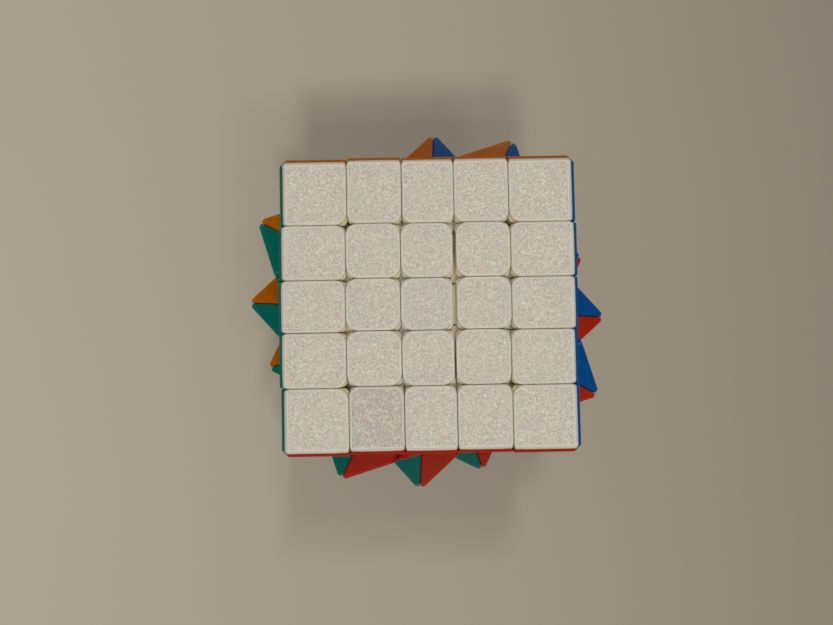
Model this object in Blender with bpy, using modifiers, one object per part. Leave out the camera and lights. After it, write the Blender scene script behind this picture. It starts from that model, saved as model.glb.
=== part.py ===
"""A twisty puzzle cube with five layers a side, its layers turned out of line about the vertical axis.

The cube is 98 cubies on a six-armed core. Each cubie is a tile block with a stem and a foot. Every foot
lies under its neighbour's block, so the six centre pieces, which are screwed to the core on springs, hold
all the others. The cuts between the layers are planes whose distance from the middle of the cube depends
only on the radius there, so every layer can turn.

The 25 cubies of the top layer are single pieces. In the lower layers neighbouring cubies are joined into
one solid, and grooves in its skin mark where their blocks meet.

Lengths are in millimetres, and a mesh is scaled to metres when it is finished. The origin is the middle of
the bottom face, +Z is up, and the top layer is square to X and Y.
"""

import math

import bmesh
import bpy
from mathutils import Matrix, Vector

MM = 0.001

# The cube and its layers, numbered 2 at the top to -2 at the bottom
EDGE = 62.0
HALF = EDGE / 2
LAYER_TURN_DEG = {2: 0.0, 1: 16.9, 0: 41.7, -1: 63.7, -2: 90.0}
GROOVE = 0.15
GROOVE_DEPTH = 2.4
X, Y = 0, 1

# The spherical shells from the outside in, and the distances of the near and far cuts in each
SHELLS = (
    {"outer": 70.0, "inner": 33.0, "near_cut": 5.45, "far_cut": 16.9},
    {"outer": 33.0, "inner": 28.3, "near_cut": 5.45, "far_cut": 14.6},
    {"outer": 28.3, "inner": 22.3, "near_cut": 4.4, "far_cut": 11.5},
)
CENTRE_SHELLS = SHELLS[1:]
NEAR_CUT = SHELLS[0]["near_cut"]
FAR_CUT = SHELLS[0]["far_cut"]
# The spheres are faceted, so a block's underside stands further off than the top of the foot below it
FOOT_DROP = 0.15
BLOCK_RISE = 0.65
STEM_OVERLAP = 0.9
SPHERE_SUBDIVISIONS = 3

# Rounding of the blocks
TILE_CORNER_R = 1.5
CUBE_EDGE_R = 1.4
ROUNDING_SEGMENTS = 1

# The centre pieces: a saucer under all the feet, and a bore for the screw and its spring
SAUCER_INNER_R = 19.0
SAUCER_OUTER_R = 22.0
SAUCER_FLOOR = 13.15
SAUCER_HALF_WIDTH = 12.85
BORE_R = 2.9
BORE_FLOOR = 21.5
BORE_TOP = 29.4
SCREW_HOLE_R = 1.6
CAP_FOOT = 29.6
CAP_BOSS_R = 2.6
CAP_BOSS_FOOT = 28.6

# Screws and springs, measured along the arm from the middle of the cube
SCREW_HEAD_R = 2.5
SCREW_HEAD_RIM_R = 2.1
SCREW_HEAD_FOOT = 26.6
SCREW_HEAD_TOP = 28.2
SCREW_SHANK_R = 1.1
SCREW_TIP = 9.0
SLOT_WIDTH = 0.7
SLOT_LENGTH = 3.0
SLOT_DEPTH = 0.8
SPRING_FOOT = 22.2
SPRING_TOP = 26.0
JOINED_SPRING_TOP = 26.4
SPRING_COIL_R = 1.95
SPRING_WIRE_R = 0.35
SPRING_TURNS = 3.5
SPRING_POINTS_PER_TURN = 7

# The core: a ball with six hollow arms
CORE_BALL_R = 7.0
CORE_ARM_R = 4.2
CORE_ARM_END = 17.6
CORE_HOLE_R = 1.5
CORE_HOLE_FLOOR = 8.0

ROUND_SEGMENTS = 12
SMALL_ROUND_SEGMENTS = 8
SHARP_ANGLE_DEG = 25

SIDE_COLOURS = ("blue", "orange", "green", "red")
PLASTICS = {
    "white": (0.80, 0.77, 0.68, 1.0),
    "yellow": (0.80, 0.62, 0.04, 1.0),
    "blue": (0.02, 0.10, 0.42, 1.0),
    "orange": (0.62, 0.17, 0.02, 1.0),
    "green": (0.00, 0.16, 0.10, 1.0),
    "red": (0.45, 0.03, 0.02, 1.0),
    "core": (0.05, 0.05, 0.055, 1.0),
}
STEEL = (0.55, 0.56, 0.58, 1.0)


# ---- scene, materials and booleans ----


def clear_scene():
    for obj in list(bpy.data.objects):
        bpy.data.objects.remove(obj, do_unlink=True)


def new_collection(name, hidden=False):
    collection = bpy.data.collections.new(name)
    bpy.context.scene.collection.children.link(collection)
    collection.hide_render = hidden
    return collection


def new_material(name, colour, roughness, metallic=0.0):
    material = bpy.data.materials.new(name)
    material.use_nodes = True
    shader = material.node_tree.nodes["Principled BSDF"]
    shader.inputs["Base Color"].default_value = colour
    shader.inputs["Roughness"].default_value = roughness
    shader.inputs["Metallic"].default_value = metallic
    return material


def helper(name, mesh):
    """A cutter or an unfinished block, which stays out of renders."""
    obj = bpy.data.objects.new(name, mesh)
    obj.hide_render = True
    obj.display_type = "WIRE"
    cutters.objects.link(obj)
    return obj


def helper_from(name, bm):
    mesh = bpy.data.meshes.new(name)
    bm.to_mesh(mesh)
    bm.free()
    return helper(name, mesh)


def add_boolean(obj, operation, other):
    """The MANIFOLD solver, because EXACT leaves open edges where spheres and faces in one plane meet."""
    modifier = obj.modifiers.new(operation.lower(), "BOOLEAN")
    modifier.operation = operation
    modifier.solver = "MANIFOLD"
    modifier.object = other


def combined(operation, helpers):
    """One mesh from the first helper and the others, which are all used up."""
    first = helpers[0]
    for other in helpers[1:]:
        add_boolean(first, operation, other)
    graph = bpy.context.evaluated_depsgraph_get()
    mesh = bpy.data.meshes.new_from_object(first.evaluated_get(graph))
    for used in helpers:
        bpy.data.objects.remove(used, do_unlink=True)
    return mesh


def fused(helpers):
    return combined("UNION", helpers)


def cut_away(mesh, helpers):
    return combined("DIFFERENCE", [helper("body", mesh), *helpers])


def cylinder_along_x(start, end, radius, end_radius=None, segments=ROUND_SEGMENTS):
    bm = bmesh.new()
    bmesh.ops.create_cone(
        bm,
        cap_ends=True,
        segments=segments,
        radius1=radius,
        radius2=end_radius or radius,
        depth=end - start,
    )
    bmesh.ops.translate(bm, vec=(0, 0, (start + end) / 2), verts=bm.verts)
    bmesh.ops.transform(bm, matrix=Matrix.Rotation(math.pi / 2, 4, "Y"), verts=bm.verts)
    return helper_from("cylinder", bm)


def box_bmesh(low, high):
    bm = bmesh.new()
    bmesh.ops.create_cube(bm, size=1.0)
    bmesh.ops.scale(bm, vec=high - low, verts=bm.verts)
    bmesh.ops.translate(bm, vec=(low + high) / 2, verts=bm.verts)
    bm.normal_update()
    return bm


def plain_box(low, high):
    return helper_from("box", box_bmesh(Vector(low), Vector(high)))


# ---- blocks and shells ----


def edge_weight(edge):
    """Rounding of a block's edge as a share of TILE_CORNER_R, by how many of its faces are on the cube's skin."""
    skin_faces = 0
    for face in edge.link_faces:
        distance = face.normal.dot(face.calc_center_median())
        skin_faces += distance > HALF - GROOVE
    return (1.0, 0.0, CUBE_EDGE_R / TILE_CORNER_R)[skin_faces]


def rounded_block(low, high):
    bm = box_bmesh(low, high)
    weights = bm.edges.layers.float.new("bevel_weight_edge")
    for edge in bm.edges:
        edge[weights] = edge_weight(edge)
    block = helper_from("block", bm)
    bevel = block.modifiers.new("rounding", "BEVEL")
    bevel.limit_method = "WEIGHT"
    bevel.width = TILE_CORNER_R
    bevel.segments = ROUNDING_SEGMENTS
    return block


def hollow_ball(inner_r, outer_r):
    """The space between two spheres, made once for each pair of radii and kept."""
    name = f"shell_{inner_r:.2f}_{outer_r:.2f}"
    if name in cutters.objects:
        return cutters.objects[name]
    bm = bmesh.new()
    bmesh.ops.create_icosphere(bm, subdivisions=SPHERE_SUBDIVISIONS, radius=inner_r)
    bmesh.ops.reverse_faces(bm, faces=bm.faces)
    bmesh.ops.create_icosphere(bm, subdivisions=SPHERE_SUBDIVISIONS, radius=outer_r)
    return helper_from(name, bm)


def shell_piece(low, high, inner_r, outer_r):
    """The part of a rounded block that lies between two spheres."""
    piece = rounded_block(low, high)
    add_boolean(piece, "INTERSECT", hollow_ball(inner_r, outer_r))
    return piece


def span(first, last, shell):
    """Lowest and highest coordinate of the layers first to last, less the grooves beside them."""
    cuts = (-HALF, -shell["far_cut"], -shell["near_cut"], shell["near_cut"], shell["far_cut"], HALF)
    low = cuts[first + 2] + (GROOVE if first > -2 else 0)
    high = cuts[last + 3] - (GROOVE if last < 2 else 0)
    return low, high


def block_corners(block, shell):
    """Low and high corners in one shell of a block, given as its first and last layer on each axis."""
    spans = [span(first, last, shell) for first, last in block]
    low, high = zip(*spans)
    return Vector(low), Vector(high)


def stem_piece(upper, lower, radius):
    """A short piece that joins two slices of a cubie where their shells meet."""
    low = Vector(map(max, upper[0], lower[0]))
    high = Vector(map(min, upper[1], lower[1]))
    return shell_piece(low, high, radius - STEM_OVERLAP, radius + STEM_OVERLAP)


def block_pieces(block, shells):
    """Overlapping pieces that make up a block: a slice of each shell, and the stems between them."""
    pieces = []
    slices = []
    for shell in shells:
        corners = block_corners(block, shell)
        if slices and slices[-1]["corners"] == corners:
            slices[-1]["inner"] = shell["inner"]
        else:
            slices.append({"corners": corners, "inner": shell["inner"], "outer": shell["outer"]})
    for each in slices:
        inner_r = each["inner"] + BLOCK_RISE
        outer_r = each["outer"] - FOOT_DROP
        pieces.append(shell_piece(*each["corners"], inner_r, outer_r))
    for upper, lower in zip(slices, slices[1:]):
        pieces.append(stem_piece(upper["corners"], lower["corners"], upper["inner"]))
    return pieces


def cell(i, j, k):
    """One cubie's block, from its layer number on each axis."""
    return ((i, i), (j, j), (k, k))


# ---- cubies, centres and the parts inside ----


def cubie_mesh(i, j, k):
    return fused(block_pieces(cell(i, j, k), SHELLS))


def groove_plate(axis, cut):
    """A thin plate at a cut, left out where it would go deeper than GROOVE_DEPTH below the cube's skin."""
    low = Vector((-EDGE, -EDGE, -EDGE))
    high = Vector((EDGE, EDGE, EDGE))
    low[axis] = cut - GROOVE
    high[axis] = cut + GROOVE
    inside = HALF - GROOVE_DEPTH
    plates = [plain_box(low, high), plain_box((-inside, -inside, -inside), (inside, inside, inside))]
    return helper("groove", combined("DIFFERENCE", plates))


def joined_cubies_mesh(blocks, grooves):
    """Neighbouring cubies as one piece, with a groove at each (axis, position) between them."""
    pieces = []
    for block in blocks:
        pieces += block_pieces(block, SHELLS)
    return cut_away(fused(pieces), [groove_plate(axis, cut) for axis, cut in grooves])


def centre_mesh(with_cap):
    """A centre piece facing +X, with its cap moulded on, or open for a separate one."""
    block = cell(2, 0, 0)
    pieces = block_pieces(block, CENTRE_SHELLS)
    stem = block_corners(block, CENTRE_SHELLS[-1])
    width = SAUCER_HALF_WIDTH
    pieces.append(shell_piece(*stem, SAUCER_OUTER_R - STEM_OVERLAP, CENTRE_SHELLS[-1]["inner"] + STEM_OVERLAP))
    pieces.append(
        shell_piece(
            Vector((SAUCER_FLOOR, -width, -width)), Vector((HALF, width, width)), SAUCER_INNER_R, SAUCER_OUTER_R
        )
    )
    tools = [
        cylinder_along_x(BORE_FLOOR, BORE_TOP if with_cap else HALF, BORE_R),
        cylinder_along_x(CORE_ARM_END, BORE_FLOOR + STEM_OVERLAP, SCREW_HOLE_R, segments=SMALL_ROUND_SEGMENTS),
    ]
    if not with_cap:
        seat = CAP_FOOT - 2 * GROOVE
        tools.append(plain_box((seat, -HALF, -HALF), (EDGE, HALF, HALF)))
    return cut_away(fused(pieces), tools)


def cap_mesh():
    """The cap over the top centre's screw, facing +X: a tile and a round boss that fits the bore."""
    low, high = block_corners(cell(2, 0, 0), CENTRE_SHELLS[0])
    low.x = CAP_FOOT
    tile = rounded_block(low, high)
    boss = cylinder_along_x(CAP_BOSS_FOOT, CAP_FOOT + STEM_OVERLAP, CAP_BOSS_R)
    return fused([tile, boss])


def screw_mesh():
    """A round-headed screw along +X with a cross slot."""
    body = fused(
        [
            cylinder_along_x(SCREW_HEAD_FOOT, SCREW_HEAD_TOP, SCREW_HEAD_R, SCREW_HEAD_RIM_R),
            cylinder_along_x(SCREW_TIP, SCREW_HEAD_FOOT + STEM_OVERLAP, SCREW_SHANK_R, segments=SMALL_ROUND_SEGMENTS),
        ]
    )
    floor = SCREW_HEAD_TOP - SLOT_DEPTH
    long, short = SLOT_LENGTH / 2, SLOT_WIDTH / 2
    slots = [
        plain_box((floor, -long, -short), (HALF, long, short)),
        plain_box((floor, -short, -long), (HALF, short, long)),
    ]
    return cut_away(body, slots)


def spring_mesh(top):
    """A compression spring along +X, from SPRING_FOOT to the given top."""
    count = round(SPRING_TURNS * SPRING_POINTS_PER_TURN) + 1
    curve = bpy.data.curves.new("spring", "CURVE")
    curve.dimensions = "3D"
    curve.bevel_depth = SPRING_WIRE_R
    curve.bevel_resolution = 0
    curve.use_fill_caps = True
    line = curve.splines.new("POLY")
    line.points.add(count - 1)
    for number, point in enumerate(line.points):
        share = number / (count - 1)
        angle = 2 * math.pi * SPRING_TURNS * share
        height = SPRING_FOOT + share * (top - SPRING_FOOT)
        point.co = (height, SPRING_COIL_R * math.cos(angle), SPRING_COIL_R * math.sin(angle), 1)
    mesh = combined("UNION", [helper("spring", curve)])
    bpy.data.curves.remove(curve)
    bm = bmesh.new()
    bm.from_mesh(mesh)
    bmesh.ops.remove_doubles(bm, verts=bm.verts, dist=SPRING_WIRE_R / 100)
    bmesh.ops.recalc_face_normals(bm, faces=bm.faces)
    bm.to_mesh(mesh)
    bm.free()
    return mesh


def core_mesh():
    """The ball and its six arms, each with a blind hole for a screw."""
    bm = bmesh.new()
    bmesh.ops.create_uvsphere(bm, u_segments=ROUND_SEGMENTS, v_segments=ROUND_SEGMENTS // 2, radius=CORE_BALL_R)
    solids = [helper_from("ball", bm)]
    holes = []
    for side in range(6):
        arm = cylinder_along_x(0, CORE_ARM_END, CORE_ARM_R)
        hole = cylinder_along_x(CORE_HOLE_FLOOR, HALF, CORE_HOLE_R, segments=SMALL_ROUND_SEGMENTS)
        for obj, group in ((arm, solids), (hole, holes)):
            obj.data.transform(facing(side))
            group.append(obj)
    return cut_away(fused(solids), holes)


# ---- placing the parts ----


def facing(side):
    """The rotation that takes +X to a side of the cube: 0 to 3 go round Z from +X, 4 is up and 5 is down."""
    if side < 4:
        return Matrix.Rotation(math.radians(90 * side), 4, "Z")
    return Matrix.Rotation(math.radians(-90 if side == 4 else 90), 4, "Y")


def turned(mesh, side):
    """A copy of a mesh that faces +X, facing the given side instead."""
    copy = mesh.copy()
    copy.transform(facing(side))
    return copy


def finished(mesh):
    """The mesh in metres, shaded, with one material slot for its objects to fill."""
    mesh.transform(Matrix.Scale(MM, 4))
    mesh.materials.clear()
    mesh.materials.append(None)
    mesh.shade_smooth()
    mesh.set_sharp_from_angle(angle=math.radians(SHARP_ANGLE_DEG))
    return mesh


def add_part(name, mesh, material, holder, quarter_turns=0):
    """A part that turns with its layer; quarter_turns puts it on another side of the cube."""
    obj = bpy.data.objects.new(name, mesh)
    parts.objects.link(obj)
    obj.parent = holder
    obj.rotation_euler.z = math.radians(90 * quarter_turns)
    obj.material_slots[0].link = "OBJECT"
    obj.material_slots[0].material = material


def add_layer_axes():
    """An empty in the middle of the cube for each layer, turned as that layer is."""
    axes = {}
    for layer, degrees in LAYER_TURN_DEG.items():
        axis = bpy.data.objects.new(f"layer_axis_{layer + 2}", None)
        parts.objects.link(axis)
        axis.location.z = HALF * MM
        axis.rotation_euler.z = math.radians(degrees)
        axes[layer] = axis
    return axes


def add_top_layer(holder):
    white = plastics["white"]
    corner = finished(cubie_mesh(2, 2, 2))
    wing_before = finished(cubie_mesh(2, 1, 2))
    wing_after = finished(cubie_mesh(1, 2, 2))
    midge = finished(cubie_mesh(2, 0, 2))
    x_centre = finished(cubie_mesh(1, 1, 2))
    t_centre = finished(cubie_mesh(1, 0, 2))
    for turn, side in enumerate(SIDE_COLOURS):
        after = SIDE_COLOURS[(turn + 1) % 4]
        add_part(f"top_corner_{side}_{after}", corner, white, holder, turn)
        add_part(f"top_wing_{side}_by_{after}", wing_before, white, holder, turn)
        add_part(f"top_wing_{after}_by_{side}", wing_after, white, holder, turn)
        add_part(f"top_midge_{side}", midge, white, holder, turn)
        add_part(f"top_x_centre_{side}_{after}", x_centre, white, holder, turn)
        add_part(f"top_t_centre_{side}", t_centre, white, holder, turn)
    add_part("top_centre", finished(turned(centre_mesh(with_cap=False), 4)), white, holder)
    add_part("top_centre_cap", finished(turned(cap_mesh(), 4)), white, holder)


def add_bar_layer(name, layer, holder):
    """A layer between the top or bottom one and the middle, as four bars that follow each other round."""
    block = ((2, 2), (-1, 2), (layer, layer))
    bar = finished(joined_cubies_mesh([block], [(Y, -NEAR_CUT), (Y, NEAR_CUT), (Y, FAR_CUT)]))
    for turn, side in enumerate(SIDE_COLOURS):
        add_part(f"{name}_bar_{side}", bar, plastics[side], holder, turn)


def add_middle_layer(holder):
    bar = finished(joined_cubies_mesh([((2, 2), (1, 2), (0, 0))], [(Y, FAR_CUT)]))
    t_centre = finished(cubie_mesh(2, -1, 0))
    centre = finished(centre_mesh(with_cap=True))
    for turn, side in enumerate(SIDE_COLOURS):
        add_part(f"middle_layer_bar_{side}", bar, plastics[side], holder, turn)
        add_part(f"middle_t_centre_{side}", t_centre, plastics[side], holder, turn)
        add_part(f"middle_centre_{side}", centre, plastics[side], holder, turn)


def add_bottom_layer(holder):
    blocks = [((2, 2), (-1, 2), (-2, -2)), ((1, 2), (0, 1), (-2, -2))]
    grooves = [(Y, -NEAR_CUT), (Y, NEAR_CUT), (Y, FAR_CUT), (X, FAR_CUT)]
    block = finished(joined_cubies_mesh(blocks, grooves))
    for turn, side in enumerate(SIDE_COLOURS):
        add_part(f"bottom_block_{side}", block, plastics["yellow"], holder, turn)
    add_part("bottom_centre", finished(turned(centre_mesh(with_cap=True), 5)), plastics["yellow"], holder)


def add_core(holder):
    """The core, and a screw with its spring on each arm."""
    add_part("core", finished(core_mesh()), plastics["core"], holder)
    screw = screw_mesh()
    spring = spring_mesh(SPRING_TOP)
    for name, side in (("top", 4), ("bottom", 5)):
        add_part(f"{name}_screw", finished(turned(screw, side)), steel, holder)
        add_part(f"{name}_spring", finished(turned(spring, side)), steel, holder)
    joined = finished(fused([helper("screw", screw), helper("spring", spring_mesh(JOINED_SPRING_TOP))]))
    for turn, side in enumerate(SIDE_COLOURS):
        add_part(f"screw_and_spring_{side}", joined, steel, holder, turn)


clear_scene()
parts = new_collection("twisty_puzzle_cube")
cutters = new_collection("cutters", hidden=True)
plastics = {name: new_material(f"{name}_plastic", colour, 0.45) for name, colour in PLASTICS.items()}
steel = new_material("steel", STEEL, 0.3, metallic=1.0)
layer_axes = add_layer_axes()
add_top_layer(layer_axes[2])
add_bar_layer("second_layer", 1, layer_axes[1])
add_middle_layer(layer_axes[0])
add_core(layer_axes[0])
add_bar_layer("fourth_layer", -1, layer_axes[-1])
add_bottom_layer(layer_axes[-2])
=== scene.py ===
"""Looks of the twisty puzzle cube: every cubie as moulded, coloured shells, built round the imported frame.

Each face of the cube has 25 tiles. A tile's shell is the part of its cubie inside the pyramid from the
middle of the cube to that face, so a corner cubie is three shells, an edge cubie two and a centre cubie
one. Every shell is first made facing +X, in millimetres about the middle of the cube, then turned to its
place.
"""

import math

import bmesh
import bpy
from mathutils import Matrix, Vector


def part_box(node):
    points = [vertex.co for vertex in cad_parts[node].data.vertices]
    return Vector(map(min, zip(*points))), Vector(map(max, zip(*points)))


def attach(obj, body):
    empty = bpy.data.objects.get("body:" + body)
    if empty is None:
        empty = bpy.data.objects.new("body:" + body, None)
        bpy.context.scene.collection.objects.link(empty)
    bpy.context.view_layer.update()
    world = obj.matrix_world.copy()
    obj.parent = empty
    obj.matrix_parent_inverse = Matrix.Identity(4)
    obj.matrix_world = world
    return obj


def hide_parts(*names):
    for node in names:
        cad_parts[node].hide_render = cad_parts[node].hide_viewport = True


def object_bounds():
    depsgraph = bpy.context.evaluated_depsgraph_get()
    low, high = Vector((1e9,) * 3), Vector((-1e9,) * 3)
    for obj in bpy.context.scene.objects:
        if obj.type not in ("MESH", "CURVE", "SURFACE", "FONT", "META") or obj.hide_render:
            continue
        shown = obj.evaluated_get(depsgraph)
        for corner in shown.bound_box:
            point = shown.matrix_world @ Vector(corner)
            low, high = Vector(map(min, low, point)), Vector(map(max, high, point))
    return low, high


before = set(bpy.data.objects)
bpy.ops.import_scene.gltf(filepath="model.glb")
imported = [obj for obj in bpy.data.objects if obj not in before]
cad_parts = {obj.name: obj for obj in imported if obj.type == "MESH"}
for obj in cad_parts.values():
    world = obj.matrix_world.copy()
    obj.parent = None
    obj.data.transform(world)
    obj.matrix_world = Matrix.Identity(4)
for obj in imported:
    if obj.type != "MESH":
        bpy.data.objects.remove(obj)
cad_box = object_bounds()

MM = 0.001

# The cube, from the frame. Its layers are numbered 2 at the top to -2 at the bottom, and in the same way
# along X and Y. CAD_GROOVE is how far a CAD wall stands back from the cut beside it
OUTER = 2
CAD_GROOVE = 0.15
EDGE = (cad_box[1].z - cad_box[0].z) / MM
HALF = EDGE / 2
NEAR_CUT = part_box("top_centre_cap")[1].x / MM + CAD_GROOVE
FAR_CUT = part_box("top_wing_blue_by_orange")[1].y / MM + CAD_GROOVE
LAYER_TURN_DEG = {2: 0.0, 1: 16.9, 0: 41.7, -1: 63.7, -2: 90.0}
LAYER_BODIES = {
    2: "top_layer",
    1: "second_layer",
    0: "middle_layer",
    -1: "fourth_layer",
    -2: "bottom_layer",
}

# How far the top layer's cubies stand from their places by hand play: along X for those left and right of
# the middle in each row, and along Y for each column. Rows and columns are numbered as layers are
TOP_ROW_PLAY = {
    2: (0.09, 0.05),
    1: (-0.34, 0.26),
    0: (-0.52, 0.2),
    -1: (-0.42, -0.12),
    -2: (-0.06, -0.06),
}
TOP_COLUMN_PLAY = {-2: 0.0, -1: 0.28, 0: 0.2, 1: 0.26, 2: 0.05}

# The CAD's spherical shells from the outside in, with the cuts in each
SHELLS = (
    {"outer": 70.0, "inner": 33.0, "near_cut": NEAR_CUT, "far_cut": FAR_CUT},
    {"outer": 33.0, "inner": 28.3, "near_cut": NEAR_CUT, "far_cut": 14.6},
    {"outer": 28.3, "inner": 22.3, "near_cut": 4.4, "far_cut": 11.5},
)

# Each wall stands back by GAP from its cut, and each block lies BLOCK_RISE above its inner sphere and
# FOOT_DROP below its outer one. Joined pieces overlap by STEM_OVERLAP. A cubie leans about FOOT_LEVEL
FOOT_LEVEL = 21.0
GAP = 0.06
FOOT_DROP = 0.12
BLOCK_RISE = 0.4
STEM_OVERLAP = 0.8
SPHERE_SUBDIVISIONS = 5

# How near two planes count as one, and two points
PLANE_TOLERANCE = 0.06
WELD_DISTANCE = 0.001

# A tile: its rounded corners, the smooth rim, and the grained field a little below it
TILE_DEPTH = 1.5
TILE_CORNER_R = 2.0
CUBE_CORNER_TILE_R = 2.5
CENTRE_TILE_CORNER_R = 2.5
TILE_CORNER_SEGMENTS = 7
ROUND_PROFILE = 0.5
INNER_CORNER_R = 1.25
INNER_CORNER_SEGMENTS = 4
CUBE_EDGE_CHAMFER = 1.4
RIM_R = 0.3
NOTCH_R = 0.65
CHAMFER_EDGE_R = 0.1
ROUNDING_SEGMENTS = 3
RIM_WIDTH = 0.1
FIELD_STEP = 0.06
FIELD_DROP = 0.03

# A face belongs to the field if its normal's share along X is more than this
FIELD_FLATNESS = 0.9

# Where two shells of a cubie meet: half the seam, the groove on the cube's edge, the slit at inner walls
SEAM = 0.012
SEAM_GROOVE = 0.13
SLIT_WIDTH = 0.3
SLIT_DEPTH = 2.0

# Surfaces deeper than this below a tile's face count as the inside of the cube; on white tiles they carry
# painted warm bounce light
INSIDE_DEPTH = 0.9

# The shells that differ, each by its tile's layer on Y and on Z when it faces +X: corner, the two wings,
# midge, x-centre and t-centre
SHELL_PLACES = ((2, 2), (1, 2), (2, 1), (0, 2), (1, 1), (0, 1))

# The centre pieces
SAUCER_INNER_R = 19.0
SAUCER_OUTER_R = 22.0
SAUCER_FLOOR = 13.15
SAUCER_HALF_WIDTH = 12.85
BORE_R = 3.3
BORE_FLOOR = 21.5
BORE_TOP = 29.4
SCREW_HOLE_R = 1.9
CAP_FOOT = 29.6
CAP_SEAT = 29.3
CAP_BOSS_R = 2.6
CAP_BOSS_FOOT = 28.6

# Screws and springs, measured along the arm from the middle of the cube
SCREW_HEAD_R = 2.5
SCREW_HEAD_FOOT = 26.6
SCREW_HEAD_TOP = 28.2
SCREW_HEAD_STEPS = 8
SCREW_SHANK_R = 1.1
SCREW_THREAD_R = 1.3
SCREW_THREAD_PITCH = 0.9
SCREW_THREAD_TOP = 16.5
SCREW_TIP = 9.0
SLOT_WIDTH = 0.7
SLOT_LENGTH = 3.0
SLOT_DEPTH = 0.8
SPRING_FOOT = 22.2
SPRING_TOP = 26.0
SPRING_COIL_R = 1.95
SPRING_WIRE_R = 0.3
SPRING_WIRE_RESOLUTION = 2
SPRING_TURNS = 3.5
SPRING_POINTS_PER_TURN = 24

# The core: a ball with six hollow arms
CORE_BALL_R = 7.0
CORE_BALL_SUBDIVISIONS = 4
CORE_ARM_R = 4.2
CORE_ARM_END = 17.6
CORE_HOLE_R = 1.45
CORE_HOLE_FLOOR = 8.0

ROUND_SEGMENTS = 48
SHARP_ANGLE_DEG = 32

# How far light spreads in the plastics, in metres and by channel, and how much of it goes in
SCATTER_DEPTH = 0.003
SCATTER_BY_CHANNEL = (1.0, 0.8, 0.55)
RIM_TRANSLUCENCY = 0.4
INSIDE_TRANSLUCENCY = 0.9
FROSTED_TRANSLUCENCY = 0.6

# Smooth plastic: broad flow marks in its colour, and a fine unevenness in its gloss and its surface
MOULDED_SPECULAR = 0.13
MOULDED_ROUGHNESS = (0.22, 0.32)
FLOW_SCALE = 120.0
FLOW_DETAIL = 3.0
FLOW_TINTS = (0.93, 1.07)
SATIN_SCALE = 1500.0
SATIN_DETAIL = 2.0
SATIN_STRENGTH = 0.15
SATIN_HEIGHT = 0.00001

# Frosted plastic: the grain's hills, with its tint at each height (painted shade in the pits and painted
# glints on the tops), and its gloss over the heights between
FROSTED_SPECULAR = 0.22
FROSTED_ROUGHNESS = (0.3, 0.17)
GRAIN_SCALE = 2500.0
GRAIN_DETAIL = 1.0
GRAIN_DISTORTION = 1.4
GRAIN_STRENGTH = 1.0
GRAIN_HEIGHT = 0.0003
GRAIN_GLOSS_HEIGHTS = (0.4, 0.6)
GRAIN_PAINTED_GLINT_AND_PIT_TINTS = ((0.38, 0.78), (0.44, 0.94), (0.55, 0.98), (0.59, 1.28))

# Plated steel and the core's nylon
STEEL_DARK = (0.48, 0.49, 0.51, 1)
STEEL_BRIGHT = (0.64, 0.65, 0.67, 1)
STEEL_ROUGHNESS = (0.2, 0.38)
STEEL_SCALE = 900.0
STEEL_DETAIL = 3.0
CORE_BLACK = (0.03, 0.03, 0.033)

# The floor, in metres: painted light falloff makes it pale at -X and grey at +X, with faint clouding
FLOOR_HALF_WIDTH = 4.0
FLOOR_CELLS = 8
FLOOR_PALE = (0.68, 0.62, 0.52, 1)
FLOOR_PAINTED_SHADE_GREY = (0.36, 0.325, 0.265, 1)
FLOOR_PAINTED_FALLOFF_REACH = 0.15
FLOOR_CLOUD = (0.93, 0.93, 0.93, 1)
FLOOR_CLOUD_SCALE = 6.0
FLOOR_CLOUD_DETAIL = 3.0
FLOOR_ROUGHNESS = 0.6
FLOOR_SPECULAR = 0.2

# Round softboxes: place and diameter in metres, power in watts
SOFTBOXES = {
    "front_panel": ((0.06, -0.62, 1.1), 0.16, 2.7),
    "front_right_panel": ((0.38, -0.55, 1.1), 0.2, 1.4),
    "back_panel": ((0.16, 0.62, 1.1), 0.16, 2.0),
    "back_spot": ((0.116, 0.416, 1.0), 0.03, 0.4),
    "front_spot": ((0.024, -0.4, 1.0), 0.03, 0.4),
    "overhead_fill": ((-0.012, -0.005, 0.5), 0.04, 0.4),
}
UNMIRRORED_SOFTBOX = "overhead_fill"
LAMP_COLOUR = (1.0, 0.97, 0.92)
ROOM_COLOUR = (0.95, 0.9, 0.82, 1)
ROOM_STRENGTH = 0.14

# The camera looks down, tilted a little by turns about its own axes in this order
CAMERA_PLACE = (-0.00345, -0.0072, 0.2020)
CAMERA_TURNS_DEG = (("Z", -1.08), ("Y", -0.27), ("X", 2.30))
CAMERA_LENS_MM = 29.31
CAMERA_SENSOR_MM = 36.0
CAMERA_CLIP_START = 0.01

# Faces of the cube in the order that facing() numbers them
FACE_COLOURS = ("blue", "orange", "green", "red", "white", "yellow")
TOP_SIDE = FACE_COLOURS.index("white")

# The plastics in linear colour. White differs between the field and the rim, and the inside of white tiles
# is painted warm bounce light
PLASTICS = {
    "yellow": (0.78, 0.56, 0.02),
    "blue": (0.0, 0.08, 0.30),
    "orange": (0.46, 0.125, 0.0),
    "green": (0.0, 0.16, 0.13),
    "red": (0.42, 0.02, 0.005),
}
WHITE = (0.835, 0.775, 0.685)
RIM_WHITE = (0.85, 0.775, 0.66)
PAINTED_BOUNCE_LIGHT_WHITE = (0.93, 0.81, 0.57)

# The cell of the top centre, whose cap is a piece of its own
TOP_CENTRE = (0, 0, OUTER)

# One tile of the white face is painted greyer than the rest: painted shade for the way that tile's tilt
# turns it from the lights
PAINTED_SHADE_CELL = (-1, -2, 2)
PAINTED_SHADE_WHITE = (0.72, 0.67, 0.60)

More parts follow.
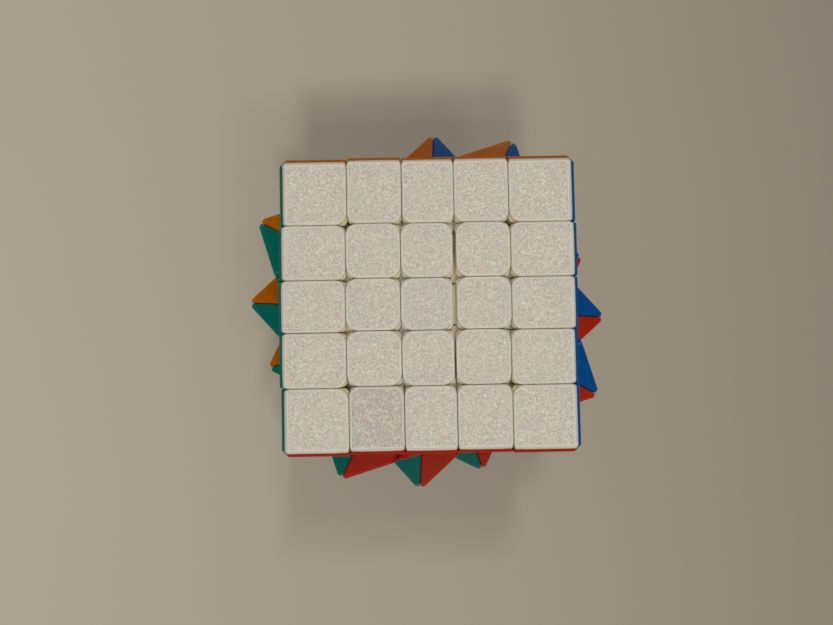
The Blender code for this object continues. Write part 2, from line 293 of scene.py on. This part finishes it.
# The CAD nodes, by a cubie's layers on X and Y before it is turned about Z to its side
TOP_NODES = {
    (2, 2): "top_corner_{side}_{after}",
    (2, 1): "top_wing_{side}_by_{after}",
    (1, 2): "top_wing_{after}_by_{side}",
    (2, 0): "top_midge_{side}",
    (1, 1): "top_x_centre_{side}_{after}",
    (1, 0): "top_t_centre_{side}",
    (0, 0): "top_centre",
}
MIDDLE_NODES = {
    (2, 2): "middle_layer_bar_{side}",
    (2, 1): "middle_layer_bar_{side}",
    (2, 0): "middle_centre_{side}",
    (2, -1): "middle_t_centre_{side}",
}
RING = ((2, 2), (2, 1), (2, 0), (2, -1))
NODE_NAMES = {
    2: TOP_NODES,
    1: {place: "second_layer_bar_{side}" for place in RING},
    0: MIDDLE_NODES,
    -1: {place: "fourth_layer_bar_{side}" for place in RING},
    -2: {
        **{place: "bottom_block_{side}" for place in (*RING, (1, 1), (1, 0))},
        (0, 0): "bottom_centre",
    },
}
END_OF_FACE = {"white": "top", "yellow": "bottom"}


# ---- helpers, booleans and simple solids ----


def helper(name, mesh):
    """An object that is only used to make others."""
    obj = bpy.data.objects.new(name, mesh)
    bpy.context.scene.collection.objects.link(obj)
    return obj


def helper_from(name, bm):
    """A helper from a bmesh, which is used up."""
    mesh = bpy.data.meshes.new(name)
    bm.to_mesh(mesh)
    bm.free()
    return helper(name, mesh)


def mesh_of(obj, *used_with_it):
    """The object's mesh with its modifiers applied. The object and the others are used up."""
    graph = bpy.context.evaluated_depsgraph_get()
    mesh = bpy.data.meshes.new_from_object(obj.evaluated_get(graph))
    mesh.materials.clear()
    for used in (obj, *used_with_it):
        bpy.data.objects.remove(used, do_unlink=True)
    return mesh


def combined(operation, helpers):
    """One mesh from the first helper and the others, which are all used up."""
    first, *others = helpers
    for other in others:
        modifier = first.modifiers.new(operation.lower(), "BOOLEAN")
        modifier.operation = operation
        modifier.solver = "MANIFOLD"
        modifier.object = other
    return mesh_of(first, *others)


def fused(meshes):
    """The union of some meshes."""
    return combined("UNION", [helper("solid", mesh) for mesh in meshes])


def cut_away(mesh, tools):
    """The mesh less the helpers."""
    return combined("DIFFERENCE", [helper("solid", mesh), *tools])


def kept_inside(mesh, tool):
    """The part of the mesh that is inside the helper."""
    return combined("INTERSECT", [helper("solid", mesh), tool])


def box_bmesh(low, high):
    bm = bmesh.new()
    bmesh.ops.create_cube(bm, size=1.0)
    bmesh.ops.scale(bm, vec=high - low, verts=bm.verts)
    bmesh.ops.translate(bm, vec=(low + high) / 2, verts=bm.verts)
    bm.normal_update()
    return bm


def plain_box(low, high):
    return helper_from("box", box_bmesh(Vector(low), Vector(high)))


def turned_profile(points):
    """A solid turned about X, from points (place along X, radius) that start and end on the axis."""
    bm = bmesh.new()
    line = [bm.verts.new((along, 0, radius)) for along, radius in points]
    for start, end in zip(line, line[1:]):
        bm.edges.new((start, end))
    bmesh.ops.spin(
        bm,
        geom=bm.verts[:] + bm.edges[:],
        axis=(1, 0, 0),
        cent=(0, 0, 0),
        angle=math.tau,
        steps=ROUND_SEGMENTS,
    )
    bmesh.ops.remove_doubles(bm, verts=bm.verts, dist=WELD_DISTANCE)
    bmesh.ops.recalc_face_normals(bm, faces=bm.faces)
    return helper_from("turned", bm)


def cylinder_along_x(start, end, radius):
    return turned_profile([(start, 0), (start, radius), (end, radius), (end, 0)])


def hollow_ball(inner_r, outer_r):
    """The space between two spheres."""
    bm = bmesh.new()
    bmesh.ops.create_icosphere(bm, subdivisions=SPHERE_SUBDIVISIONS, radius=inner_r)
    bmesh.ops.reverse_faces(bm, faces=bm.faces)
    bmesh.ops.create_icosphere(bm, subdivisions=SPHERE_SUBDIVISIONS, radius=outer_r)
    return helper_from("hollow_ball", bm)


def pyramid():
    """The space nearer to the +X face than to any other, from the middle of the cube out."""
    bm = bmesh.new()
    start = SEAM * math.sqrt(2)
    reach = EDGE - start
    apex = bm.verts.new((start, 0, 0))
    base = [bm.verts.new((EDGE, y * reach, z * reach)) for y, z in ((-1, -1), (1, -1), (1, 1), (-1, 1))]
    bm.faces.new(base)
    for corner, following in zip(base, base[1:] + base[:1]):
        bm.faces.new((following, corner, apex))
    bmesh.ops.recalc_face_normals(bm, faces=bm.faces)
    return helper_from("pyramid", bm)


# ---- shells of the cubies, all facing +X ----


def span(layer, shell):
    """Lowest and highest coordinate of a layer in a shell, less the gaps beside it."""
    cuts = (-HALF, -shell["far_cut"], -shell["near_cut"], shell["near_cut"], shell["far_cut"], HALF)
    low = cuts[layer + OUTER] + (GAP if layer > -OUTER else 0)
    high = cuts[layer + OUTER + 1] - (GAP if layer < OUTER else 0)
    return low, high


def block_corners(cell, shell):
    """The lowest and highest corner of a cubie's block in a shell."""
    low, high = zip(*(span(layer, shell) for layer in cell))
    return Vector(low), Vector(high)


def face_kind(face):
    """Whether a block's face is on the cube's skin, on a chamfer of the cube's edges, or a wall inside."""
    distance = face.normal.dot(face.calc_center_median())
    if distance > HALF + PLANE_TOLERANCE:
        return "chamfer"
    return "skin" if distance > HALF - PLANE_TOLERANCE else "wall"


def rounding_of(edge):
    """How far a tile's edge is rounded, from the kinds of its two faces."""
    kinds = sorted(face_kind(face) for face in edge.link_faces)
    return {
        ("skin", "wall"): RIM_R,
        ("chamfer", "wall"): NOTCH_R,
        ("chamfer", "skin"): CHAMFER_EDGE_R,
        ("chamfer", "chamfer"): CHAMFER_EDGE_R,
    }.get(tuple(kinds), 0.0)


def round_edges(obj, width, segments):
    """Rounds the edges that carry a bevel weight."""
    modifier = obj.modifiers.new("rounding", "BEVEL")
    modifier.limit_method = "WEIGHT"
    modifier.width = width
    modifier.segments = segments


def skins_at(place, axes):
    """How many of the cube's faces across the given axes a place lies on."""
    return sum(abs(abs(place[axis]) - HALF) < PLANE_TOLERANCE for axis in axes)


def is_upright(edge):
    """Whether an edge runs along X and stands between two inner walls."""
    start, end = (vertex.co for vertex in edge.verts)
    along_x = abs(start.x - end.x) > (start - end).length / 2
    return along_x and not skins_at(start, (1, 2))


def is_cube_edge(edge):
    """Whether an edge lies on an edge of the cube."""
    middle = (edge.verts[0].co + edge.verts[1].co) / 2
    return skins_at(middle, (0, 1, 2)) == 2


def tile_block(low, high, corner_r):
    """A block with the rim and the field of a tile that faces +X."""
    bm = box_bmesh(low, high)
    uprights = [edge for edge in bm.edges if is_upright(edge)]
    bmesh.ops.bevel(
        bm,
        geom=uprights,
        offset=corner_r,
        segments=TILE_CORNER_SEGMENTS,
        profile=ROUND_PROFILE,
        affect="EDGES",
    )
    cube_edges = [edge for edge in bm.edges if is_cube_edge(edge)]
    if cube_edges:
        bmesh.ops.bevel(bm, geom=cube_edges, offset=CUBE_EDGE_CHAMFER, segments=1, affect="EDGES")
    bm.normal_update()
    weights = bm.edges.layers.float.new("bevel_weight_edge")
    for edge in bm.edges:
        edge[weights] = rounding_of(edge) / NOTCH_R
    block = helper_from("block", bm)
    round_edges(block, NOTCH_R, ROUNDING_SEGMENTS)
    return with_field(mesh_of(block))


def with_field(mesh):
    """The mesh with a sunken field in its flat face at +X."""
    bm = bmesh.new()
    bm.from_mesh(mesh)
    level = HALF - PLANE_TOLERANCE
    skin = max(bm.faces, key=lambda face: face.calc_area() * (face.calc_center_median().x > level))
    bmesh.ops.inset_region(bm, faces=[skin], thickness=RIM_WIDTH, use_even_offset=True)
    bmesh.ops.inset_region(bm, faces=[skin], thickness=FIELD_STEP, depth=-FIELD_DROP, use_even_offset=True)
    bm.to_mesh(mesh)
    bm.free()
    return mesh


def tile_envelope(cell, corner_r):
    """All the space below a tile's edge, and the detailed tile above it."""
    low, high = block_corners(cell, SHELLS[0])
    low.x = HALF - TILE_DEPTH
    everything = plain_box((-EDGE, -EDGE, -EDGE), (low.x, EDGE, EDGE))
    low.x -= STEM_OVERLAP
    tile = helper("tile", tile_block(low, high, corner_r))
    return helper("envelope", combined("UNION", [tile, everything]))


def inner_block(low, high):
    """A block of a cubie, rounded between its inner walls."""
    bm = box_bmesh(low, high)
    weights = bm.edges.layers.float.new("bevel_weight_edge")
    for edge in bm.edges:
        edge[weights] = all(face_kind(face) == "wall" for face in edge.link_faces)
    block = helper_from("inner_block", bm)
    round_edges(block, INNER_CORNER_R, INNER_CORNER_SEGMENTS)
    return mesh_of(block)


def slices(cell):
    """A cubie's blocks from the outside in, each with its corners and the radii it lies between."""
    found = []
    for shell in SHELLS:
        corners = block_corners(cell, shell)
        if found and found[-1]["corners"] == corners:
            found[-1]["inner"] = shell["inner"]
        else:
            found.append({"corners": corners, "inner": shell["inner"], "outer": shell["outer"]})
    return found


def between_spheres(mesh, inner_r, outer_r):
    """The part of a mesh between two radii."""
    return kept_inside(mesh, hollow_ball(inner_r, outer_r))


def cubie_pieces(cell):
    """Overlapping solids that make up a cubie: a slice in each shell, and a stem across each boundary."""
    found = slices(cell)
    pieces = []
    for each in found:
        block = inner_block(*each["corners"])
        pieces.append(between_spheres(block, each["inner"] + BLOCK_RISE, each["outer"] - FOOT_DROP))
    for upper, lower in zip(found, found[1:]):
        low = Vector(map(max, upper["corners"][0], lower["corners"][0]))
        high = Vector(map(min, upper["corners"][1], lower["corners"][1]))
        stem = inner_block(low, high)
        radius = upper["inner"]
        pieces.append(between_spheres(stem, radius - STEM_OVERLAP, radius + STEM_OVERLAP))
    return pieces


def seam_tool(size, axis, place):
    """A bar or plate about a place, turned by 45 degrees from X towards Y or Z, as axis 1 or 2."""
    bm = box_bmesh(-size / 2, size / 2)
    if axis == 1:
        turn = Matrix.Rotation(math.radians(45), 4, "Z")
    else:
        turn = Matrix.Rotation(math.radians(-45), 4, "Y")
    bmesh.ops.transform(bm, matrix=Matrix.Translation(place) @ turn, verts=bm.verts)
    return helper_from("seam_tool", bm)


def edge_grooves(cell):
    """Square bars that cut a fine groove where two shells of a cubie meet on the cube's edge."""
    tools = []
    middle = HALF - CUBE_EDGE_CHAMFER / 2
    side = SEAM_GROOVE * math.sqrt(2)
    for axis, across in ((1, 2), (2, 1)):
        if cell[axis] == OUTER:
            size = Vector((side, side, side))
            size[across] = 2 * EDGE
            place = Vector((middle, 0, 0))
            place[axis] = middle
            tools.append(seam_tool(size, axis, place))
    return tools


def wall_slits(cell):
    """Thin plates that widen the seam where two shells of a cubie meet at its inner walls."""
    tools = []
    for axis, across in ((1, 2), (2, 1)):
        if cell[axis] == OUTER:
            size = Vector((2 * EDGE, SLIT_WIDTH, SLIT_WIDTH))
            size[across] = 2 * SLIT_DEPTH
            for wall in span(cell[across], SHELLS[0]):
                if abs(wall) < HALF:
                    place = Vector((0, 0, 0))
                    place[across] = wall
                    tools.append(seam_tool(size, axis, place))
    return tools


def tile_corner_r(place):
    """The radius of a tile's corners, which are rounder on the cube's corners and round the middle."""
    if place == (OUTER, OUTER):
        return CUBE_CORNER_TILE_R
    return CENTRE_TILE_CORNER_R if max(place) < OUTER else TILE_CORNER_R


def cubie_shell(place):
    """The shell that faces +X of the cubie at a place on that face."""
    cell = (OUTER, *place)
    mesh = kept_inside(fused(cubie_pieces(cell)), tile_envelope(cell, tile_corner_r(place)))
    mesh = kept_inside(mesh, pyramid())
    tools = edge_grooves(cell) + wall_slits(cell)
    return cut_away(mesh, tools) if tools else mesh


def centre_shell(with_cap):
    """A fixed centre with its saucer and bore, and its cap moulded on or left off."""
    cell = (OUTER, 0, 0)
    pieces = cubie_pieces(cell)
    stem = inner_block(*block_corners(cell, SHELLS[-1]))
    stem_foot, stem_top = SAUCER_OUTER_R - STEM_OVERLAP, SHELLS[-1]["inner"] + STEM_OVERLAP
    pieces.append(between_spheres(stem, stem_foot, stem_top))
    width = SAUCER_HALF_WIDTH
    low, high = Vector((SAUCER_FLOOR, -width, -width)), Vector((HALF, width, width))
    pieces.append(between_spheres(inner_block(low, high), SAUCER_INNER_R, SAUCER_OUTER_R))
    mesh = kept_inside(fused(pieces), tile_envelope(cell, CENTRE_TILE_CORNER_R))
    tools = [
        cylinder_along_x(BORE_FLOOR, BORE_TOP if with_cap else HALF, BORE_R),
        cylinder_along_x(CORE_ARM_END, BORE_FLOOR + STEM_OVERLAP, SCREW_HOLE_R),
    ]
    if not with_cap:
        tools.append(plain_box((CAP_SEAT, -HALF, -HALF), (EDGE, HALF, HALF)))
    return cut_away(mesh, tools)


def cap_shell():
    """The separate cap over the top centre's screw."""
    low, high = block_corners((OUTER, 0, 0), SHELLS[0])
    low.x = CAP_FOOT
    tile = tile_block(low, high, CENTRE_TILE_CORNER_R)
    boss = mesh_of(cylinder_along_x(CAP_BOSS_FOOT, CAP_FOOT + STEM_OVERLAP, CAP_BOSS_R))
    return fused([tile, boss])


# ---- the parts inside ----


def screw_mesh():
    """A round-headed screw along +X with a cross slot and a rolled thread."""
    profile = [
        (SCREW_TIP, 0),
        (SCREW_TIP + SCREW_SHANK_R, SCREW_SHANK_R),
    ]
    place = SCREW_TIP + SCREW_SHANK_R + SCREW_THREAD_PITCH / 2
    while place < SCREW_THREAD_TOP:
        profile += [
            (place, SCREW_SHANK_R),
            (place + SCREW_THREAD_PITCH / 3, SCREW_THREAD_R),
            (place + SCREW_THREAD_PITCH * 2 / 3, SCREW_SHANK_R),
        ]
        place += SCREW_THREAD_PITCH
    profile += [(SCREW_HEAD_FOOT, SCREW_SHANK_R), (SCREW_HEAD_FOOT, SCREW_HEAD_R)]
    rise = SCREW_HEAD_TOP - SCREW_HEAD_FOOT
    for step in range(1, SCREW_HEAD_STEPS):
        angle = math.radians(90) * step / SCREW_HEAD_STEPS
        profile.append((SCREW_HEAD_FOOT + rise * math.sin(angle), SCREW_HEAD_R * math.cos(angle)))
    profile.append((SCREW_HEAD_TOP, 0))
    floor = SCREW_HEAD_TOP - SLOT_DEPTH
    long, short = SLOT_LENGTH / 2, SLOT_WIDTH / 2
    slots = [
        plain_box((floor, -long, -short), (HALF, long, short)),
        plain_box((floor, -short, -long), (HALF, short, long)),
    ]
    return cut_away(mesh_of(turned_profile(profile)), slots)


def spring_mesh():
    """A compression spring along +X whose ends close up."""
    count = round(SPRING_TURNS * SPRING_POINTS_PER_TURN) + 1
    curve = bpy.data.curves.new("spring", "CURVE")
    curve.dimensions = "3D"
    curve.bevel_depth = SPRING_WIRE_R
    curve.bevel_resolution = SPRING_WIRE_RESOLUTION
    curve.use_fill_caps = True
    line = curve.splines.new("POLY")
    line.points.add(count - 1)
    for number, point in enumerate(line.points):
        share = number / (count - 1)
        angle = math.tau * SPRING_TURNS * share
        smooth_step = share * share * (3 - 2 * share)
        height = SPRING_FOOT + smooth_step * (SPRING_TOP - SPRING_FOOT)
        point.co = (height, SPRING_COIL_R * math.cos(angle), SPRING_COIL_R * math.sin(angle), 1)
    mesh = mesh_of(helper("spring", curve))
    bm = bmesh.new()
    bm.from_mesh(mesh)
    bmesh.ops.remove_doubles(bm, verts=bm.verts, dist=WELD_DISTANCE)
    bmesh.ops.recalc_face_normals(bm, faces=bm.faces)
    bm.to_mesh(mesh)
    bm.free()
    return mesh


def core_mesh():
    """The ball and its six arms, each with a blind hole for a screw."""
    bm = bmesh.new()
    bmesh.ops.create_icosphere(bm, subdivisions=CORE_BALL_SUBDIVISIONS, radius=CORE_BALL_R)
    solids = [mesh_of(helper_from("ball", bm))]
    holes = []
    for side in range(len(FACE_COLOURS)):
        arm = mesh_of(cylinder_along_x(0, CORE_ARM_END, CORE_ARM_R))
        arm.transform(facing(side))
        solids.append(arm)
        hole = cylinder_along_x(CORE_HOLE_FLOOR, HALF, CORE_HOLE_R)
        hole.data.transform(facing(side))
        holes.append(hole)
    return cut_away(fused(solids), holes)


# ---- materials ----


def set_inputs(tree, node, inputs):
    """Links each input to a socket, or sets it to a value."""
    for name, value in inputs.items():
        if isinstance(value, bpy.types.NodeSocket):
            tree.links.new(value, node.inputs[name])
        else:
            node.inputs[name].default_value = value


def new_node(tree, kind, inputs, **settings):
    """A shader node with its settings and its inputs."""
    node = tree.nodes.new(kind)
    for name, value in settings.items():
        setattr(node, name, value)
    set_inputs(tree, node, inputs)
    return node


def own_place(tree):
    """The place on the object itself, so that a texture rides with its piece."""
    return new_node(tree, "ShaderNodeTexCoord", {}).outputs["Object"]


def noise(tree, scale, detail, **more):
    """Cloudy values from 0 to 1 that ride with the piece."""
    inputs = {"Vector": own_place(tree), "Scale": scale, "Detail": detail}
    return new_node(tree, "ShaderNodeTexNoise", inputs | more).outputs["Fac"]


def colour_mix(tree, factor, first, second, blend_type="MIX"):
    """A colour between two, or the first multiplied by the second."""
    inputs = {"Factor": factor, "A": first, "B": second}
    mix = new_node(tree, "ShaderNodeMix", inputs, data_type="RGBA", blend_type=blend_type)
    return mix.outputs["Result"]


def spread(tree, value, low, high):
    """A value from 0 to 1 taken to between low and high."""
    inputs = {"Value": value, "To Min": low, "To Max": high}
    return new_node(tree, "ShaderNodeMapRange", inputs).outputs["Result"]


def bump(tree, height, strength, distance):
    """The normals of a surface whose height varies by the distance, in metres."""
    inputs = {"Height": height, "Strength": strength, "Distance": distance}
    return new_node(tree, "ShaderNodeBump", inputs).outputs["Normal"]


def tinted(colour, factor):
    """The colour made lighter or darker in the same hue, as far as it can go."""
    factor = min(factor, 1 / max(colour))
    return (*(channel * factor for channel in colour), 1.0)


def new_material(name):
    material = bpy.data.materials.new(name)
    material.use_nodes = True
    tree = material.node_tree
    return material, tree, tree.nodes["Principled BSDF"]


def let_light_in(shader, translucency):
    """Makes a plastic slightly translucent, so that light reaches the walls of thin gaps through it."""
    shader.inputs["Subsurface Weight"].default_value = translucency
    shader.inputs["Subsurface Radius"].default_value = SCATTER_BY_CHANNEL
    shader.inputs["Subsurface Scale"].default_value = SCATTER_DEPTH


def moulded_plastic(name, colour, translucency):
    """Smooth satin plastic: faint flow marks in its colour and a slight unevenness in its gloss."""
    material, tree, shader = new_material(name)
    dark, light = (tinted(colour, factor) for factor in FLOW_TINTS)
    flow = noise(tree, FLOW_SCALE, FLOW_DETAIL)
    satin = noise(tree, SATIN_SCALE, SATIN_DETAIL)
    looks = {
        "Base Color": colour_mix(tree, flow, dark, light),
        "Roughness": spread(tree, satin, *MOULDED_ROUGHNESS),
        "Normal": bump(tree, satin, SATIN_STRENGTH, SATIN_HEIGHT),
        "Specular IOR Level": MOULDED_SPECULAR,
    }
    set_inputs(tree, shader, looks)
    let_light_in(shader, translucency)
    return material


def painted_glints_and_pit_shade(tree, hills, colour):
    """The tint of the grain at each height of its hills: painted shade in the pits and painted glints on
    the tops.
    """
    ramp = new_node(tree, "ShaderNodeValToRGB", {"Fac": hills})
    stops = ramp.color_ramp.elements
    while len(stops) < len(GRAIN_PAINTED_GLINT_AND_PIT_TINTS):
        stops.new(1.0)
    for stop, (height, factor) in zip(stops, GRAIN_PAINTED_GLINT_AND_PIT_TINTS):
        stop.position = height
        stop.color = tinted(colour, factor)
    return ramp.outputs["Color"]


def grain_gloss(tree, hills):
    """The roughness of the grain, lowest on its hills."""
    low, high = GRAIN_GLOSS_HEIGHTS
    in_pits, on_hills = FROSTED_ROUGHNESS
    inputs = {"Value": hills, "From Min": low, "From Max": high, "To Min": in_pits, "To Max": on_hills}
    return new_node(tree, "ShaderNodeMapRange", inputs).outputs["Result"]


def frosted_plastic(name, colour):
    """The tile's field: an etched grain of low hills, glossier on top than in the pits, with painted glints
    on the tops and painted shade in the pits.
    """
    material, tree, shader = new_material(name)
    hills = noise(tree, GRAIN_SCALE, GRAIN_DETAIL, Distortion=GRAIN_DISTORTION)
    looks = {
        "Base Color": painted_glints_and_pit_shade(tree, hills, colour),
        "Roughness": grain_gloss(tree, hills),
        "Normal": bump(tree, hills, GRAIN_STRENGTH, GRAIN_HEIGHT),
        "Specular IOR Level": FROSTED_SPECULAR,
    }
    set_inputs(tree, shader, looks)
    let_light_in(shader, FROSTED_TRANSLUCENCY)
    return material


def plated_steel():
    """Bright plating with faint drawing marks."""
    material, tree, shader = new_material("plated_steel")
    marks = noise(tree, STEEL_SCALE, STEEL_DETAIL)
    looks = {
        "Base Color": colour_mix(tree, marks, STEEL_DARK, STEEL_BRIGHT),
        "Roughness": spread(tree, marks, *STEEL_ROUGHNESS),
        "Metallic": 1.0,
    }
    set_inputs(tree, shader, looks)
    return material


def floor_material():
    """A pale table top with painted light falloff that greys it a little towards +X, and faint clouding."""
    material, tree, shader = new_material("pale_surface")
    along = new_node(tree, "ShaderNodeSeparateXYZ", {"Vector": own_place(tree)}).outputs["X"]
    inputs = {"Value": along, "From Min": -FLOOR_PAINTED_FALLOFF_REACH, "From Max": FLOOR_PAINTED_FALLOFF_REACH}
    painted_falloff = new_node(tree, "ShaderNodeMapRange", inputs).outputs["Result"]
    ground = colour_mix(tree, painted_falloff, FLOOR_PALE, FLOOR_PAINTED_SHADE_GREY)
    cloud = noise(tree, FLOOR_CLOUD_SCALE, FLOOR_CLOUD_DETAIL)
    looks = {
        "Base Color": colour_mix(tree, cloud, ground, FLOOR_CLOUD, blend_type="MULTIPLY"),
        "Roughness": FLOOR_ROUGHNESS,
        "Specular IOR Level": FLOOR_SPECULAR,
    }
    set_inputs(tree, shader, looks)
    return material


def tile_plastics():
    """The rim, field and inside material of each kind of tile, in the order of their slots."""
    plastics = {}
    for name, colour in PLASTICS.items():
        moulded = moulded_plastic(f"smooth_{name}", colour, INSIDE_TRANSLUCENCY)
        plastics[name] = (moulded, frosted_plastic(f"frosted_{name}", colour), moulded)
    rim = moulded_plastic("smooth_white", RIM_WHITE, RIM_TRANSLUCENCY)
    # The white inside is painted warm bounce light, creamier than the field
    inside = moulded_plastic("inside_white_painted_bounce", PAINTED_BOUNCE_LIGHT_WHITE, INSIDE_TRANSLUCENCY)
    plastics["white"] = (rim, frosted_plastic("frosted_white", WHITE), inside)
    # The greyer white field is painted shade for one tilted tile
    plastics["white_with_painted_shade"] = (rim, frosted_plastic("frosted_white_painted_shade", PAINTED_SHADE_WHITE), inside)
    return plastics


# ---- placing the pieces ----


def facing(side):
    """The rotation that takes +X to a face: 0 to 3 go round Z from +X, 4 is up and 5 is down."""
    if side < TOP_SIDE:
        return Matrix.Rotation(math.radians(90 * side), 4, "Z")
    return Matrix.Rotation(math.radians(-90 if side == TOP_SIDE else 90), 4, "Y")


def node_of(cell):
    """The CAD node that holds the cubie in a cell, which is given by its layers on X, Y and Z."""
    i, j, layer = cell
    names = NODE_NAMES[layer]
    for turn in range(4):
        if (i, j) in names:
            side, after = FACE_COLOURS[turn], FACE_COLOURS[(turn + 1) % 4]
            return names[(i, j)].format(side=side, after=after)
        i, j = j, -i
    raise ValueError(f"no CAD node holds cell {cell}")


def lean_of(cell):
    """How a cubie of the top layer leans about its foot by hand play, as a shear."""
    lean = Matrix.Identity(4)
    i, j, layer = cell
    if layer == OUTER:
        reach = HALF - FOOT_LEVEL
        left, right = TOP_ROW_PLAY[j]
        for axis, shift in enumerate((right if i > 0 else left, TOP_COLUMN_PLAY[i])):
            lean[axis][2] = shift / reach
            lean[axis][3] = -shift * FOOT_LEVEL / reach
    return lean


def surface_slot(face):
    """The material slot of a face in a mesh facing +X: 0 for rim, 1 for field, 2 for inside, which on white
    tiles is painted warm bounce light.
    """
    depth = HALF - face.center.x
    if depth > INSIDE_DEPTH:
        return 2
    in_field = abs(depth - FIELD_DROP) < FIELD_DROP / 2 and face.normal.x > FIELD_FLATNESS
    return int(in_field)


def mark_surfaces(mesh):
    """The same mesh with the slots of its rim, its field and its inside set."""
    for face in mesh.polygons:
        face.material_index = surface_slot(face)
    return mesh


def in_place(mesh, side_turn, cell):
    """A copy of a mesh that faces +X, turned to its face and its layer, in metres in the frame's axes."""
    copy = mesh.copy()
    copy.transform(lean_of(cell) @ side_turn)
    layer_turn = Matrix.Rotation(math.radians(LAYER_TURN_DEG[cell[2]]), 4, "Z")
    copy.transform(Matrix.Scale(MM, 4) @ Matrix.Translation((0, 0, HALF)) @ layer_turn)
    return copy


def add_piece(name, mesh, materials, body, slot, *nodes):
    """A shaded piece in the scene, riding on its body and standing for its CAD nodes."""
    for material in materials:
        mesh.materials.append(material)
    mesh.shade_smooth()
    mesh.set_sharp_from_angle(angle=math.radians(SHARP_ANGLE_DEG))
    obj = bpy.data.objects.new(name, mesh)
    bpy.context.scene.collection.objects.link(obj)
    smoothing = obj.modifiers.new("flat_faces_stay_flat", "WEIGHTED_NORMAL")
    smoothing.keep_sharp = True
    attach(obj, body)
    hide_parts(*nodes)


def tile_types():
    """The shell meshes, each with its tile's layer on Y and on Z when it faces +X."""
    types = [(place, cubie_shell(place)) for place in SHELL_PLACES]
    types.append(((0, 0), centre_shell(with_cap=True)))
    return [(place, mark_surfaces(mesh)) for place, mesh in types]


def add_tiles(types, plastics):
    """The 25 tiles of each of the six faces, but for the top centre."""
    for side, colour in enumerate(FACE_COLOURS):
        for place, mesh in types:
            for turn in range(4 if any(place) else 1):
                whole_turn = facing(side) @ Matrix.Rotation(math.radians(90 * turn), 4, "X")
                cell = tuple(round(number) for number in whole_turn @ Vector((OUTER, *place)))
                if cell != TOP_CENTRE:
                    add_tile(side, colour, cell, in_place(mesh, whole_turn, cell), plastics)


def add_tile(side, colour, cell, placed, plastics):
    """A tile's shell, named by its face, row and column."""
    row, column = row_and_column(side, cell)
    # One white tile takes the painted shade
    kind = "white_with_painted_shade" if colour == "white" and cell == PAINTED_SHADE_CELL else colour
    add_piece(
        f"{colour}_tile_row{row}_column{column}",
        placed,
        plastics[kind],
        LAYER_BODIES[cell[2]],
        f"{colour}_plastic",
        node_of(cell),
    )


def row_and_column(side, cell):
    """A tile's place on its face, 1 to 5 from its top left corner when that face is looked at."""
    local = facing(side).inverted() @ Vector(cell)
    middle = OUTER + 1
    return middle - round(local.z), middle + round(local.y)


def add_top_centre(plastics):
    """The top centre, which alone has a separate cap."""
    for name, mesh, node in (
        ("white_centre_stem", centre_shell(with_cap=False), "top_centre"),
        ("white_tile_row3_column3", mark_surfaces(cap_shell()), "top_centre_cap"),
    ):
        placed = in_place(mesh, facing(TOP_SIDE), TOP_CENTRE)
        add_piece(name, placed, plastics["white"], "top_layer", "white_plastic", node)


def add_insides():
    """The core, and a screw with its spring on each arm."""
    middle = (0, 0, 0)
    nylon = moulded_plastic("core_nylon", CORE_BLACK, 0.0)
    core = in_place(core_mesh(), Matrix(), middle)
    add_piece("six_armed_core", core, [nylon], "middle_layer", "core_plastic", "core")
    parts = {"screw": screw_mesh(), "spring": spring_mesh()}
    steel = plated_steel()
    for side, colour in enumerate(FACE_COLOURS):
        for part, mesh in parts.items():
            node = f"screw_and_spring_{colour}"
            if colour in END_OF_FACE:
                node = f"{END_OF_FACE[colour]}_{part}"
            placed = in_place(mesh, facing(side), middle)
            add_piece(f"{part}_of_{colour}_centre", placed, [steel], "middle_layer", "steel", node)


# ---- floor, light and camera ----


def add_floor():
    bm = bmesh.new()
    bmesh.ops.create_grid(bm, x_segments=FLOOR_CELLS, y_segments=FLOOR_CELLS, size=FLOOR_HALF_WIDTH)
    floor = helper_from("floor", bm)
    floor.data.materials.append(floor_material())


def add_softbox(name, place, size, power):
    """A round area light that points at the cube."""
    light = bpy.data.lights.new(name, "AREA")
    light.shape = "DISK"
    light.size = size
    light.energy = power
    light.color = LAMP_COLOUR
    obj = bpy.data.objects.new(name, light)
    bpy.context.scene.collection.objects.link(obj)
    obj.location = place
    target = Vector((0, 0, HALF * MM))
    obj.rotation_euler = (target - Vector(place)).to_track_quat("-Z", "Y").to_euler()
    obj.visible_glossy = name != UNMIRRORED_SOFTBOX


def add_room_light():
    """The faint light that comes from all round."""
    world = bpy.data.worlds.new("soft_room")
    world.use_nodes = True
    backdrop = world.node_tree.nodes["Background"]
    backdrop.inputs["Color"].default_value = ROOM_COLOUR
    backdrop.inputs["Strength"].default_value = ROOM_STRENGTH
    bpy.context.scene.world = world


def add_lights():
    for name, (place, size, power) in SOFTBOXES.items():
        add_softbox(name, place, size, power)
    add_room_light()


def add_camera():
    camera = bpy.data.cameras.new("camera")
    camera.lens = CAMERA_LENS_MM
    camera.sensor_width = CAMERA_SENSOR_MM
    camera.clip_start = CAMERA_CLIP_START
    obj = bpy.data.objects.new("camera", camera)
    bpy.context.scene.collection.objects.link(obj)
    turn = Matrix.Identity(4)
    for axis, degrees in CAMERA_TURNS_DEG:
        turn = turn @ Matrix.Rotation(math.radians(degrees), 4, axis)
    obj.matrix_world = Matrix.Translation(CAMERA_PLACE) @ turn
    bpy.context.scene.camera = obj


tile_materials = tile_plastics()
add_tiles(tile_types(), tile_materials)
add_top_centre(tile_materials)
add_insides()
add_floor()
add_lights()
add_camera()
bpy.context.scene.view_settings.view_transform = "Standard"
